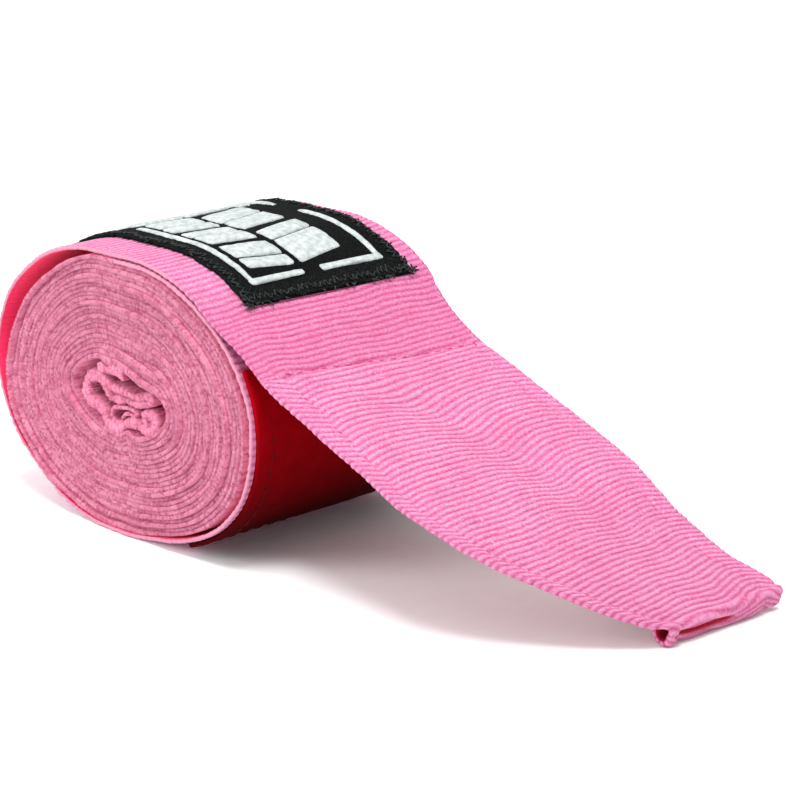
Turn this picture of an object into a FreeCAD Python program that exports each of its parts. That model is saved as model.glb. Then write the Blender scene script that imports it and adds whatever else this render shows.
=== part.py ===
# A rolled hand wrap: one long elastic cotton strip wound into an oval roll, with a sewn
# label on top, a loop tape on the roll, a hook tape under the free tail and a thumb loop
# folded away in the middle. X is the way the tail runs out, Y is the roll's axis and Z is
# up. The origin is the centre of the flat that the roll rests on. Lengths in millimetres,
# angles in degrees.
import FreeCAD, Part
import math
import os

from FreeCAD import Vector

# the strip
strip_width = 50.0
strip_thickness = 0.7
turn_gap = 0.1  # air between two tight turns
lap_gap = 0.35  # air between the outer turn's start and the end that laps over it

# the roll, measured over its outer turn
roll_half_length = 36.8
roll_height = 51.7
rest_flat = 11.6  # length of the flat under the roll and on top of it
slack = 1.8  # extra room at the two round ends between the coil and the outer turn
core_end_radius = 3.0  # least bend of the strip at the innermost turn's two ends
core_flat = 0.8  # length of the flat of the innermost turn

# the crumpled inner end of the strip
fold_spacing = 4.2
fold_half_run = 5.5

# the thumb loop, folded flat in the core
thumb_width = 15.0
thumb_run = 9.0
thumb_bend = 0.75  # radius of the loop's two ends, on its middle line
thumb_edge_inset = 0.6
tack_stitches = 5

# the loop tape on the outer turn
loop_tape_thickness = 1.0
loop_tape_inset = 2.0
loop_tape_turn = 22.0  # how much further the strip turns down before the tape starts
loop_tape_clearance = 0.05  # height of the tape's lower end over the floor

# the label
label_length = 76.0
label_near_inset = 8.2
label_far_inset = 3.0
label_thickness = 0.6
label_border = 4.0
frame_line = 1.3
frame_break = 7.0  # gap in the middle of each frame line
print_height = 0.4
near_row_depth = 9.6
middle_row_depth = 11.2
row_gap = 1.3
near_row_count = 6
middle_row_count = 4
far_row_count = 5
far_row_share = 0.5  # part of the label's length that the far row has, from the label's start
mark_share = 0.72  # part of its pitch that a mark fills

# the free tail, as straight panels that bend at fabric hinges
leave_slope = 36.0  # slope at which the tail leaves the roll
neck_length = 15.4
first_length = 22.0
second_length = 22.8
tip_length = 28.2
first_slope = 20.0
second_slope = 23.5
taper_length = 36.0
tip_width = 25.0
end_fold_radius = 1.9
end_fold_bore = 1.0

# the hook tape under the tail
hook_thickness = 1.2
hook_inset = 5.0
hook_start = 2.2  # distance from the first hinge to the tape

# seams
thread = 0.4
thread_height = 0.2
seam_inset = 4.6  # from the strip's edge to the box seam
tape_seam_inset = 1.6  # from a tape's edge to its seam

# largest bend of each hinge, either way, which sets the gap between two panels
lift_bend = 70.0
curl_bend = 50.0
wrap_bend = 62.0
tip_bend = 30.0
hinge_clearance = 0.3

half_width = strip_width / 2
half_thick = strip_thickness / 2
pitch = strip_thickness + turn_gap
outer_pitch = strip_thickness + lap_gap
corner = 45.0  # where the round ends meet the flatter top and bottom
corner_cos = math.cos(math.radians(corner))
corner_rise = 1 - corner_cos


# ---- paths: a strip's middle line as pieces of line and arc in the XZ plane ----
def start_piece(x, z, heading):
    return {"x": x, "z": z, "heading": heading, "length": 0.0, "bend": 0.0}


def point_on(piece, distance, offset):
    """A point a distance along a piece and an offset to its left, and the heading there."""
    heading = math.radians(piece["heading"])
    if piece["bend"] == 0:
        x = piece["x"] + distance * math.cos(heading) - offset * math.sin(heading)
        z = piece["z"] + distance * math.sin(heading) + offset * math.cos(heading)
        return x, z, piece["heading"]
    radius = piece["length"] / math.radians(piece["bend"])
    turned = heading + distance / radius
    centre_x = piece["x"] - radius * math.sin(heading)
    centre_z = piece["z"] + radius * math.cos(heading)
    x = centre_x + (radius - offset) * math.sin(turned)
    z = centre_z - (radius - offset) * math.cos(turned)
    return x, z, math.degrees(turned)


def add_line(path, length):
    x, z, heading = point_on(path[-1], path[-1]["length"], 0)
    path.append({"x": x, "z": z, "heading": heading, "length": length, "bend": 0.0})


def add_arc(path, radius, bend):
    """An arc that turns by bend degrees, to the left when bend is positive."""
    x, z, heading = point_on(path[-1], path[-1]["length"], 0)
    length = radius * math.radians(abs(bend))
    path.append({"x": x, "z": z, "heading": heading, "length": length, "bend": bend})


def path_length(path):
    return sum(piece["length"] for piece in path)


def along(path, distance, offset=0.0):
    """The point at a distance along the whole path."""
    for piece in path:
        if distance <= piece["length"] and piece["length"] > 0:
            return point_on(piece, distance, offset)
        distance -= piece["length"]
    return point_on(path[-1], path[-1]["length"] + distance, offset)


def vector(point, y=0.0):
    return Vector(point[0], y, point[1])


def face_edges(path, start, end, offset, y):
    """The edges of one face of a strip, from start to end along the path."""
    edges = []
    passed = 0.0
    for piece in path:
        low = max(start - passed, 0.0)
        high = min(end - passed, piece["length"])
        passed += piece["length"]
        if high - low < 1e-6:
            continue
        first = vector(point_on(piece, low, offset), y)
        last = vector(point_on(piece, high, offset), y)
        if piece["bend"] == 0:
            edges.append(Part.LineSegment(first, last).toShape())
        else:
            middle = vector(point_on(piece, (low + high) / 2, offset), y)
            edges.append(Part.Arc(first, middle, last).toShape())
    return edges


def band(path, start, end, offsets, sides):
    """A solid that follows the path, between two offsets from it and two Y values."""
    low = face_edges(path, start, end, offsets[0], sides[0])
    high = face_edges(path, start, end, offsets[1], sides[0])
    first = Part.makeLine(low[0].Vertexes[0].Point, high[0].Vertexes[0].Point)
    last = Part.makeLine(high[-1].Vertexes[-1].Point, low[-1].Vertexes[-1].Point)
    wire = Part.Wire(low + [last] + high[::-1] + [first])
    return Part.Face(wire).extrude(Vector(0, sides[1] - sides[0], 0))


def closed_band(path, offsets, sides):
    """A solid ring that follows a closed path."""
    rings = []
    for offset in offsets:
        wire = Part.Wire(face_edges(path, 0, path_length(path), offset, sides[0]))
        rings.append(Part.Face(wire).extrude(Vector(0, sides[1] - sides[0], 0)))
    rings.sort(key=lambda ring: ring.Volume)
    return rings[1].cut(rings[0])


def group(solids):
    return Part.makeCompound(solids)


# ---- the roll ----
# one turn: right end, bottom, left end and top, each tangent to the next
outer_flat = rest_flat / 2
coil_flat = outer_flat - slack
drop = roll_height - strip_thickness - outer_pitch  # from the outer turn's start to its lowest line
mid_drop = (drop - corner_rise * outer_pitch / 2) / 2
reach = roll_half_length - half_thick - outer_flat
spread = (reach - mid_drop) / (corner_cos - corner_rise)
outer_radius = mid_drop - corner_rise * spread
coil_turns = int((outer_radius - core_end_radius) / pitch)
core_radius = outer_radius - coil_turns * pitch
core_half_height = core_radius + corner_rise * spread
flat_growth = (coil_flat - core_flat / 2) / coil_turns
start_top = half_thick + drop  # height of the outer turn's first line


def add_turn(path, radius, flat, next_flat, rise):
    """A clockwise turn from the middle of the top, higher by rise at its end."""
    top_radius = radius + spread
    add_line(path, flat)
    add_arc(path, top_radius, -corner)
    add_arc(path, radius, -2 * corner)
    add_arc(path, top_radius + rise / 2, -corner)
    add_line(path, flat + next_flat)
    add_arc(path, top_radius + rise / 2, -corner)
    add_arc(path, radius + rise / 2, -2 * corner)
    add_arc(path, top_radius + rise, -corner)
    add_line(path, next_flat)


def roll_path():
    """The whole wound strip, from the core to where the tail leaves."""
    path = [start_piece(0, start_top - coil_turns * pitch, 0)]
    for turn in range(coil_turns):
        flat = core_flat / 2 + turn * flat_growth
        add_turn(path, core_radius + turn * pitch, flat, flat + flat_growth, pitch)
    coil_end = path_length(path)
    add_turn(path, outer_radius, outer_flat, outer_flat, outer_pitch)
    add_line(path, outer_flat)
    add_arc(path, outer_radius + outer_pitch + spread, -leave_slope)
    return path, coil_end


roll, coil_end = roll_path()
leave = path_length(roll)
strip_faces = (-half_thick, half_thick)
strip_sides = (-half_width, half_width)
core_height = start_top - coil_turns * pitch - core_half_height  # middle of the core


def hinge_gap(bend, thickness):
    """Half the gap that two panels of a thickness need to bend without touching."""
    return thickness / 2 * math.tan(math.radians(bend / 2)) + hinge_clearance / 2


def wrap_coil():
    return band(roll, 0, coil_end, strip_faces, strip_sides)


def wrap_outer_turn():
    end = leave - hinge_gap(lift_bend, strip_thickness)
    return band(roll, coil_end, end, strip_faces, strip_sides)


# ---- the core ----
def last_fold():
    """Radius of the fold's last bend and the slope at which it meets the first turn."""
    top_radius = core_radius + spread
    room = core_half_height - fold_spacing
    radius = room / 2
    for step in range(20):
        slope = math.asin((fold_half_run - core_flat / 2) / (top_radius - radius))
        radius = (room - top_radius * (1 - math.cos(slope))) / (1 + math.cos(slope))
    return radius, math.degrees(slope)


def fold_path():
    """The strip's inner end, folded three times on its way to the first turn."""
    path = [start_piece(fold_half_run, core_height - fold_spacing, 180)]
    radius, slope = last_fold()
    add_line(path, 2 * fold_half_run)
    add_arc(path, fold_spacing / 2, -180)
    add_line(path, 2 * fold_half_run)
    add_arc(path, fold_spacing / 2, 180)
    add_line(path, 2 * fold_half_run)
    add_arc(path, radius, slope - 180)
    add_arc(path, core_radius + spread, -slope)
    add_line(path, core_flat / 2)
    return path


def wrap_inner_fold():
    path = fold_path()
    return band(path, 0, path_length(path), strip_faces, strip_sides)


thumb_low = core_height - fold_spacing + strip_thickness  # its lower run lies on the fold
thumb_left = fold_half_run - thumb_run
thumb_near = -half_width + thumb_edge_inset


def thumb_loop():
    path = [start_piece(thumb_left, thumb_low, 0)]
    for side in range(2):
        add_line(path, thumb_run)
        add_arc(path, thumb_bend, 180)
    return closed_band(path, strip_faces, (thumb_near, thumb_near + thumb_width))


def thumb_loop_tack():
    """The bar tack that holds the loop to the strip's end."""
    stitches = []
    stitch_pitch = thumb_width / (tack_stitches + 1)
    height = thumb_low + half_thick
    for number in range(tack_stitches):
        y = thumb_near + stitch_pitch * (number + 1)
        corner_point = Vector(fold_half_run - thumb_run / 2, y - thread / 2, height)
        stitches.append(Part.makeBox(thumb_run / 3, thread, thread_height, corner_point))
    return group(stitches)


# ---- the loop tape, on the outer turn from under the tail down to the floor ----
def tape_span():
    """Where the tape starts and ends along the roll's path."""
    right_start = coil_end + outer_flat + (outer_radius + spread) * math.radians(corner)
    start = right_start + outer_radius * math.radians(leave_slope + loop_tape_turn - corner)
    bottom_radius = outer_radius + spread + outer_pitch / 2 + half_thick
    lift = loop_tape_thickness + loop_tape_clearance
    short = math.degrees(math.acos((bottom_radius - lift) / (bottom_radius + loop_tape_thickness)))
    bottom_start = right_start + outer_radius * math.radians(2 * corner)
    end = bottom_start + (bottom_radius - half_thick) * math.radians(corner - short)
    return start, end


def loop_tape():
    start, end = tape_span()
    faces = (half_thick, half_thick + loop_tape_thickness)
    sides = (-half_width + loop_tape_inset, half_width - loop_tape_inset)
    return band(roll, start, end, faces, sides)


def seam_box(path, span, sides, height):
    """Four thread lines round a sewn patch, on the face at an offset from the path."""
    faces = (height, height + thread_height)
    lines = [band(path, span[0], span[1], faces, (sides[0], sides[0] + thread))]
    lines.append(band(path, span[0], span[1], faces, (sides[1] - thread, sides[1])))
    inside = (sides[0] + thread, sides[1] - thread)
    lines.append(band(path, span[0], span[0] + thread, faces, inside))
    lines.append(band(path, span[1] - thread, span[1], faces, inside))
    return group(lines)


def loop_tape_seam():
    start, end = tape_span()
    span = (start + tape_seam_inset, end - tape_seam_inset * 2)
    inset = loop_tape_inset + tape_seam_inset
    sides = (-half_width + inset, half_width - inset)
    return seam_box(roll, span, sides, half_thick + loop_tape_thickness)


# ---- the label ----
label_end = leave - hinge_gap(lift_bend, strip_thickness)
label_start = label_end - label_length
label_near = -half_width + label_near_inset
label_far = half_width - label_far_inset
label_top = half_thick + label_thickness
print_faces = (label_top, label_top + print_height)


def label():
    return band(roll, label_start, label_end, (half_thick, label_top), (label_near, label_far))


def label_seam():
    """The seam sits between the label's edge and its printed frame."""
    inset = label_border / 2
    span = (label_start + inset, label_end - inset)
    return seam_box(roll, span, (label_near + inset, label_far - inset), label_top)


def label_frame_marks():
    """A broken rectangle: each side is two lines with a gap between them."""
    start = label_start + label_border
    end = label_end - label_border
    near = label_near + label_border
    far = label_far - label_border
    middle = (start + end) / 2
    across = (near + far) / 2
    half_break = frame_break / 2
    lines = []
    for low, high in ((near, near + frame_line), (far - frame_line, far)):
        lines.append(band(roll, start, middle - half_break, print_faces, (low, high)))
        lines.append(band(roll, middle + half_break, end, print_faces, (low, high)))
    for low, high in ((start, start + frame_line), (end - frame_line, end)):
        lines.append(band(roll, low, high, print_faces, (near + frame_line, across - half_break)))
        lines.append(band(roll, low, high, print_faces, (across + half_break, far - frame_line)))
    return group(lines)


row_near = label_near + label_border + frame_line + row_gap


def mark_row(near, depth, count, share=1.0):
    """A row of plain blocks along a share of the label's length."""
    start = label_start + label_border + frame_line + row_gap
    end = label_end - label_border - frame_line - row_gap
    step = (end - start) * share / count
    marks = []
    for number in range(count):
        first = start + number * step + step * (1 - mark_share) / 2
        marks.append(band(roll, first, first + step * mark_share, print_faces, (near, near + depth)))
    return group(marks)


def label_near_marks():
    return mark_row(row_near, near_row_depth, near_row_count)


def label_middle_marks():
    return mark_row(row_near + near_row_depth + row_gap, middle_row_depth, middle_row_count)


def label_far_marks():
    """The last row fills the depth that the other two leave."""
    near = row_near + near_row_depth + middle_row_depth + 2 * row_gap
    far = label_far - label_border - frame_line - row_gap
    return mark_row(near, far - near, far_row_count, far_row_share)


# ---- the tail ----
def panel_path(x, z, slope, length):
    path = [start_piece(x, z, -slope)]
    add_line(path, length)
    return path


leave_x, leave_z, leave_heading = along(roll, leave)
neck = panel_path(leave_x, leave_z, leave_slope, neck_length)
first = panel_path(*along(neck, neck_length)[:2], first_slope, first_length)
second = panel_path(*along(first, first_length)[:2], second_slope, second_length)
tip_x, tip_z = along(second, second_length)[:2]
tip_reach = tip_length + end_fold_radius  # from the last hinge to the middle of the end fold
tip_slope = math.degrees(math.asin((tip_z - end_fold_radius) / tip_reach))
tip = panel_path(tip_x, tip_z, tip_slope, tip_length)
sewn_thickness = strip_thickness + hook_thickness
wrap_gap = hinge_gap(wrap_bend, 2 * sewn_thickness)
curl_gap = hinge_gap(curl_bend, strip_thickness)
tip_gap = hinge_gap(tip_bend, 2 * sewn_thickness)


def tail_cut():
    """A prism that trims the near side of the tail's end to the tip's width."""
    start_x, start_z = along(tip, tip_length - taper_length)[:2]
    end_x = along(tip, tip_length)[0]
    far = strip_width  # well outside the tail
    points = [
        Vector(start_x, -half_width, 0),
        Vector((start_x + end_x) / 2, -half_width + (strip_width - tip_width) * 0.4, 0),
        Vector(end_x, half_width - tip_width, 0),
        Vector(end_x + far, half_width - tip_width, 0),
        Vector(end_x + far, -far, 0),
        Vector(start_x, -far, 0),
    ]
    lines = [Part.LineSegment(a, b).toShape() for a, b in zip(points, points[1:] + points[:1])]
    face = Part.Face(Part.Wire(lines))
    face.translate(Vector(0, 0, -far))
    return face.extrude(Vector(0, 0, 3 * far))


trim = tail_cut()


def tapered(shape, inset):
    """The shape with the tail's taper cut from it, further in by an inset."""
    cutter = trim.copy()
    cutter.translate(Vector(0, inset, 0))
    return shape.cut(cutter)


def tail_neck():
    start = hinge_gap(lift_bend, strip_thickness)
    return band(neck, start, neck_length - curl_gap, strip_faces, strip_sides)


def tail_first_panel():
    return band(first, curl_gap, first_length - wrap_gap, strip_faces, strip_sides)


def tail_second_panel():
    panel = band(second, wrap_gap, second_length - tip_gap, strip_faces, strip_sides)
    return tapered(panel, 0)


def tail_tip_panel():
    return tapered(band(tip, tip_gap, tip_length, strip_faces, strip_sides), 0)


def tail_end_fold():
    """The strip's end, rolled under and sewn down as a small tube."""
    x, z = along(tip, tip_reach)[:2]
    start = Vector(x, half_width - tip_width, z)
    tube = Part.makeCylinder(end_fold_radius, tip_width, start, Vector(0, 1, 0))
    bore = Part.makeCylinder(end_fold_bore, tip_width, start, Vector(0, 1, 0))
    return tube.cut(bore)


hook_faces = (-half_thick - hook_thickness, -half_thick)
hook_sides = (-half_width + hook_inset, half_width - hook_inset)


def hook_tape_first():
    return band(first, hook_start, first_length - wrap_gap, hook_faces, hook_sides)


def hook_tape_second():
    panel = band(second, wrap_gap, second_length - tip_gap, hook_faces, hook_sides)
    return tapered(panel, hook_inset)


def hook_tape_tip():
    panel = band(tip, tip_gap, tip_length - end_fold_radius, hook_faces, hook_sides)
    return tapered(panel, hook_inset)


thread_faces = (half_thick, half_thick + thread_height)
near_seam = (-half_width + seam_inset, -half_width + seam_inset + thread)
far_seam = (half_width - seam_inset - thread, half_width - seam_inset)


def hook_seam_cross():
    inside = (near_seam[1], far_seam[0])
    return band(first, hook_start, hook_start + thread, thread_faces, inside)


def side_seams(path, start, end):
    return [band(path, start, end, thread_faces, sides) for sides in (near_seam, far_seam)]


def hook_seam_first():
    return group(side_seams(first, hook_start, first_length - wrap_gap))


def hook_seam_second():
    lines = side_seams(second, wrap_gap, second_length - tip_gap)
    return group([tapered(lines[0], seam_inset), lines[1]])


def hook_seam_tip():
    """The far side line, and a cross line just before the end fold."""
    lines = side_seams(tip, tip_gap, tip_length - 2 * end_fold_radius)
    start = tip_length - 2 * end_fold_radius
    inside = (half_width - tip_width + seam_inset, far_seam[1])
    cross = band(tip, start, start + thread, thread_faces, inside)
    return group([lines[1], cross])


nodes = {
    "wrap_coil": wrap_coil,
    "wrap_inner_fold": wrap_inner_fold,
    "wrap_outer_turn": wrap_outer_turn,
    "thumb_loop": thumb_loop,
    "thumb_loop_tack": thumb_loop_tack,
    "loop_tape": loop_tape,
    "loop_tape_seam": loop_tape_seam,
    "label": label,
    "label_seam": label_seam,
    "label_frame_marks": label_frame_marks,
    "label_near_marks": label_near_marks,
    "label_middle_marks": label_middle_marks,
    "label_far_marks": label_far_marks,
    "tail_neck": tail_neck,
    "tail_first_panel": tail_first_panel,
    "tail_second_panel": tail_second_panel,
    "tail_tip_panel": tail_tip_panel,
    "tail_end_fold": tail_end_fold,
    "hook_tape_first": hook_tape_first,
    "hook_tape_second": hook_tape_second,
    "hook_tape_tip": hook_tape_tip,
    "hook_seam_cross": hook_seam_cross,
    "hook_seam_first": hook_seam_first,
    "hook_seam_second": hook_seam_second,
    "hook_seam_tip": hook_seam_tip,
}

os.makedirs("parts", exist_ok=True)
for name, build in nodes.items():
    shape = build()
    shape.exportStep("parts/" + name + ".step")
    box = shape.BoundBox
    print(name, len(shape.Solids), shape.isValid(), round(shape.Volume, 1),
          "x", round(box.XMin, 2), round(box.XMax, 2), "z", round(box.ZMin, 2), round(box.ZMax, 2))

print("hinges, in x and z:")
for name, path in (("tail_lift", neck), ("tail_curl", first), ("tail_wrap", second), ("tip_bend", tip)):
    print(name, round(path[0]["x"], 3), round(path[0]["z"], 3))
print("strip in the roll", round(path_length(roll) + path_length(fold_path())))
print("end faces of the core", round(core_half_height, 2), "core height", round(core_height, 2))
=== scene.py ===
# A rolled hand wrap: ribbed elastic cotton wound into an oval roll, with a sewn label, a
# loop tape, a hook tape under the free tail and a thumb loop folded into the core.
# Lengths in the dictionaries are millimetres and angles degrees; meshes are in metres.
import math

import bmesh
import bpy
import numpy as np
from mathutils import Matrix, Vector


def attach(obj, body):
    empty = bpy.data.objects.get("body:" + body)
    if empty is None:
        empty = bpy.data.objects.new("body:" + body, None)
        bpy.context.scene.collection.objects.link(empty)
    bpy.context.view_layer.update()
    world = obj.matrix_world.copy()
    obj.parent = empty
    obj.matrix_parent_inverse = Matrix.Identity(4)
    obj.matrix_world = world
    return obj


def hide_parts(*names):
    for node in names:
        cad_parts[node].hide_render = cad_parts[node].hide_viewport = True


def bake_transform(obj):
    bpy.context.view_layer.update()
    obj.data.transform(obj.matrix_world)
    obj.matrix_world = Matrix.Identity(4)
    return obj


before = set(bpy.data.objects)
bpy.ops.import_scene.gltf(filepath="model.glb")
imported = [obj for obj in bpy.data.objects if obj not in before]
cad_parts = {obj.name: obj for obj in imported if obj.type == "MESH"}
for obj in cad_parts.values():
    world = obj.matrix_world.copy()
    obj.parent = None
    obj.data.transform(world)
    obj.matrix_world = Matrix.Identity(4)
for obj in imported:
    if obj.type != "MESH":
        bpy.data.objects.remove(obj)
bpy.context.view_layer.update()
mm = 0.001
scene = bpy.context.scene
print("frame loaded")

# camera
view = {"azimuth": 47.7, "elevation": 16.7, "roll": 1.3, "lens": 117.0, "distance": 455.5}
viewTarget = Vector((35.8, 9.4, 25.0))


def makeCamera():
    azimuth, elevation = math.radians(view["azimuth"]), math.radians(view["elevation"])
    level = math.cos(elevation)
    back = Vector((math.sin(azimuth) * level, -math.cos(azimuth) * level, math.sin(elevation)))
    right = Vector((0, 0, 1)).cross(back).normalized()
    up = back.cross(right)
    turn = math.radians(-view["roll"])
    rolledRight = right * math.cos(turn) + up * math.sin(turn)
    rolledUp = up * math.cos(turn) - right * math.sin(turn)
    place = (viewTarget + back * view["distance"]) * mm
    data = bpy.data.cameras.new("camera")
    data.lens, data.sensor_width, data.clip_start = view["lens"], 36.0, 0.01
    camera = bpy.data.objects.new("camera", data)
    scene.collection.objects.link(camera)
    camera.matrix_world = Matrix((
        (rolledRight.x, rolledUp.x, back.x, place.x),
        (rolledRight.y, rolledUp.y, back.y, place.y),
        (rolledRight.z, rolledUp.z, back.z, place.z),
        (0, 0, 0, 1),
    ))
    scene.camera = camera


makeCamera()
print("camera placed")

# the strip's own line, as in the CAD part
strip = {
    "width": 50.0, "thickness": 0.7, "turnGap": 0.1, "lapGap": 0.35,
    "rollHalfLength": 36.8, "rollHeight": 51.7, "restFlat": 11.6, "slack": 1.8,
    "coreEndRadius": 3.0, "coreFlat": 0.8,
}
tail = {
    "leaveSlope": 36.0, "neck": 15.4, "first": 22.0, "second": 22.8, "tip": 28.2,
    "firstSlope": 20.0, "secondSlope": 23.5, "endRadius": 1.5, "endTurn": 318.0,
    "rounding": 6.0, "taperStart": 38.0, "taperPower": 1.74, "tipWidth": 25.0,
}
halfWidth = strip["width"] / 2
halfThick = strip["thickness"] / 2
pitch = strip["thickness"] + strip["turnGap"]
outerPitch = strip["thickness"] + strip["lapGap"]
cornerCos = math.cos(math.radians(45))
cornerRise = 1 - cornerCos
outerFlat = strip["restFlat"] / 2
coilFlat = outerFlat - strip["slack"]
drop = strip["rollHeight"] - strip["thickness"] - outerPitch
midDrop = (drop - cornerRise * outerPitch / 2) / 2
spread = (strip["rollHalfLength"] - halfThick - outerFlat - midDrop) / (cornerCos - cornerRise)
outerRadius = midDrop - cornerRise * spread
coilTurns = int((outerRadius - strip["coreEndRadius"]) / pitch)
coreRadius = outerRadius - coilTurns * pitch
coreHalfHeight = coreRadius + cornerRise * spread
startTop = halfThick + drop
coreHeight = startTop - coilTurns * pitch - coreHalfHeight


def addPiece(path, length, bend=0.0):
    last = path[-1]
    x, z, heading = (value[0] for value in walk([last], np.array([last["length"]])))
    path.append({"x": x, "z": z, "heading": heading, "length": length, "bend": bend})


def addArc(path, radius, bend):
    addPiece(path, radius * math.radians(abs(bend)), bend)


# places, heights and headings at distances along a path of lines and arcs
def walk(path, distance):
    starts = np.cumsum([0.0] + [piece["length"] for piece in path])[:-1]
    which = np.clip(np.searchsorted(starts, distance, side="right") - 1, 0, len(path) - 1)
    heading = np.radians(np.array([piece["heading"] for piece in path]))[which]
    bends = np.array([math.radians(p["bend"]) / p["length"] if p["length"] else 0.0 for p in path])[which]
    gone = distance - starts[which]
    straight = np.abs(bends) < 1e-9
    safe = np.where(straight, 1.0, bends)
    turned = heading + bends * gone
    x = np.where(straight, gone * np.cos(heading), (np.sin(turned) - np.sin(heading)) / safe)
    z = np.where(straight, gone * np.sin(heading), (np.cos(heading) - np.cos(turned)) / safe)
    x = x + np.array([piece["x"] for piece in path])[which]
    z = z + np.array([piece["z"] for piece in path])[which]
    return x, z, np.degrees(turned)


def addTurn(path, radius, flat, nextFlat, rise):
    topRadius = radius + spread
    addPiece(path, flat)
    addArc(path, topRadius, -45)
    addArc(path, radius, -90)
    addArc(path, topRadius + rise / 2, -45)
    addPiece(path, flat + nextFlat)
    addArc(path, topRadius + rise / 2, -45)
    addArc(path, radius + rise / 2, -90)
    addArc(path, topRadius + rise, -45)
    addPiece(path, nextFlat)


def pathLength(path):
    return sum(piece["length"] for piece in path)


wound = [{"x": 0.0, "z": startTop - coilTurns * pitch, "heading": 0.0, "length": 0.0, "bend": 0.0}]
growth = (coilFlat - strip["coreFlat"] / 2) / coilTurns
turnStarts = []
for turn in range(coilTurns):
    turnStarts.append(pathLength(wound))
    flatNow = strip["coreFlat"] / 2 + turn * growth
    addTurn(wound, coreRadius + turn * pitch, flatNow, flatNow + growth, pitch)
coilEnd = pathLength(wound)
turnStarts = np.array(turnStarts + [coilEnd])
addTurn(wound, outerRadius, outerFlat, outerFlat, outerPitch)
addPiece(wound, outerFlat)
addArc(wound, outerRadius + outerPitch + spread, -tail["leaveSlope"])
leave = pathLength(wound)


# the tail runs on as straight panels, rounded where they meet
def addTail(path):
    lengths = [tail["neck"], tail["first"], tail["second"], tail["tip"]]
    tipZ = float(walk(path, np.array([pathLength(path)]))[1][0])
    slopes = [tail["leaveSlope"], tail["firstSlope"], tail["secondSlope"]]
    for length, slope in zip(lengths, slopes):
        tipZ -= length * math.sin(math.radians(slope))
    floorGap = 2 * tail["endRadius"] + halfThick + 0.1
    slopes.append(math.degrees(math.asin((tipZ - floorGap) / tail["tip"])))
    hinges = [leave]
    used = 0.0
    for number in range(4):
        turnBy = slopes[number] - slopes[number + 1] if number < 3 else 0.0
        tangent = tail["rounding"] if number < 3 else 0.0
        addPiece(path, lengths[number] - used - tangent)
        if number < 3:
            radius = tangent / math.tan(math.radians(abs(turnBy) / 2))
            addArc(path, radius, turnBy)
            hinges.append(pathLength(path) - path[-1]["length"] / 2)
        used = tangent
    flatEnd = pathLength(path)
    addArc(path, tail["endRadius"], -tail["endTurn"])
    return hinges, flatEnd


hingeAt, flatEnd = addTail(wound)
stripEnd = pathLength(wound)
liftAt, curlAt, wrapAt, tipAt = hingeAt
splits = [leave + 7.7, curlAt + 12.6, wrapAt + 11.4, tipAt + 13.0]


# small shapers
def smooth(value):
    value = np.clip(value, 0.0, 1.0)
    return value * value * (3 - 2 * value)


def hump(value, width):
    return np.exp(-(value / width) ** 2)


# soft waves in two directions, the same on every run
def ripples(a, b, seed, waves=6):
    dice = np.random.default_rng(seed)
    total = 0.0
    for _ in range(waves):
        alongA, alongB = dice.normal(0, 1, 2)
        total = total + np.sin(alongA * a + alongB * b + dice.uniform(0, 6.28))
    return total / math.sqrt(waves)


# lumps about one unit across, from -1 to 1
def lumps(a, b, seed):
    lowA, lowB = np.floor(a), np.floor(b)
    partA, partB = smooth(a - lowA), smooth(b - lowB)

    def knot(i, j):
        return np.modf(np.abs(np.sin(i * 127.1 + j * 311.7 + seed * 74.7)) * 43758.5453)[0]

    low = knot(lowA, lowB) * (1 - partA) + knot(lowA + 1, lowB) * partA
    high = knot(lowA, lowB + 1) * (1 - partA) + knot(lowA + 1, lowB + 1) * partA
    return (low * (1 - partB) + high * partB) * 2 - 1


# making cloth: a flat grid is laid out, then carried to its place
# the ring is the way round a strip's section: over the top, round one edge, back below
def sectionRing(topCount, edgeCount, underCount):
    across, outward, side = [], [], []
    for k in range(topCount):
        across.append(k / (topCount - 1)), outward.append(0.0), side.append(1.0)
    for k in range(1, edgeCount + 1):
        angle = math.pi / 2 - math.pi * k / (edgeCount + 1)
        across.append(1.0), outward.append(math.cos(angle)), side.append(math.sin(angle))
    for k in range(underCount):
        across.append(1 - k / (underCount - 1)), outward.append(0.0), side.append(-1.0)
    for k in range(1, edgeCount + 1):
        angle = -math.pi / 2 + math.pi * k / (edgeCount + 1)
        across.append(0.0), outward.append(-math.cos(angle)), side.append(math.sin(angle))
    for row in (across, outward, side):
        row.append(row[0])
    return np.array([across, outward, side])


def newObject(name, mesh, material):
    piece = bpy.data.objects.new(name, mesh)
    scene.collection.objects.link(piece)
    if material:
        mesh.materials.append(material)
    return piece


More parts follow.
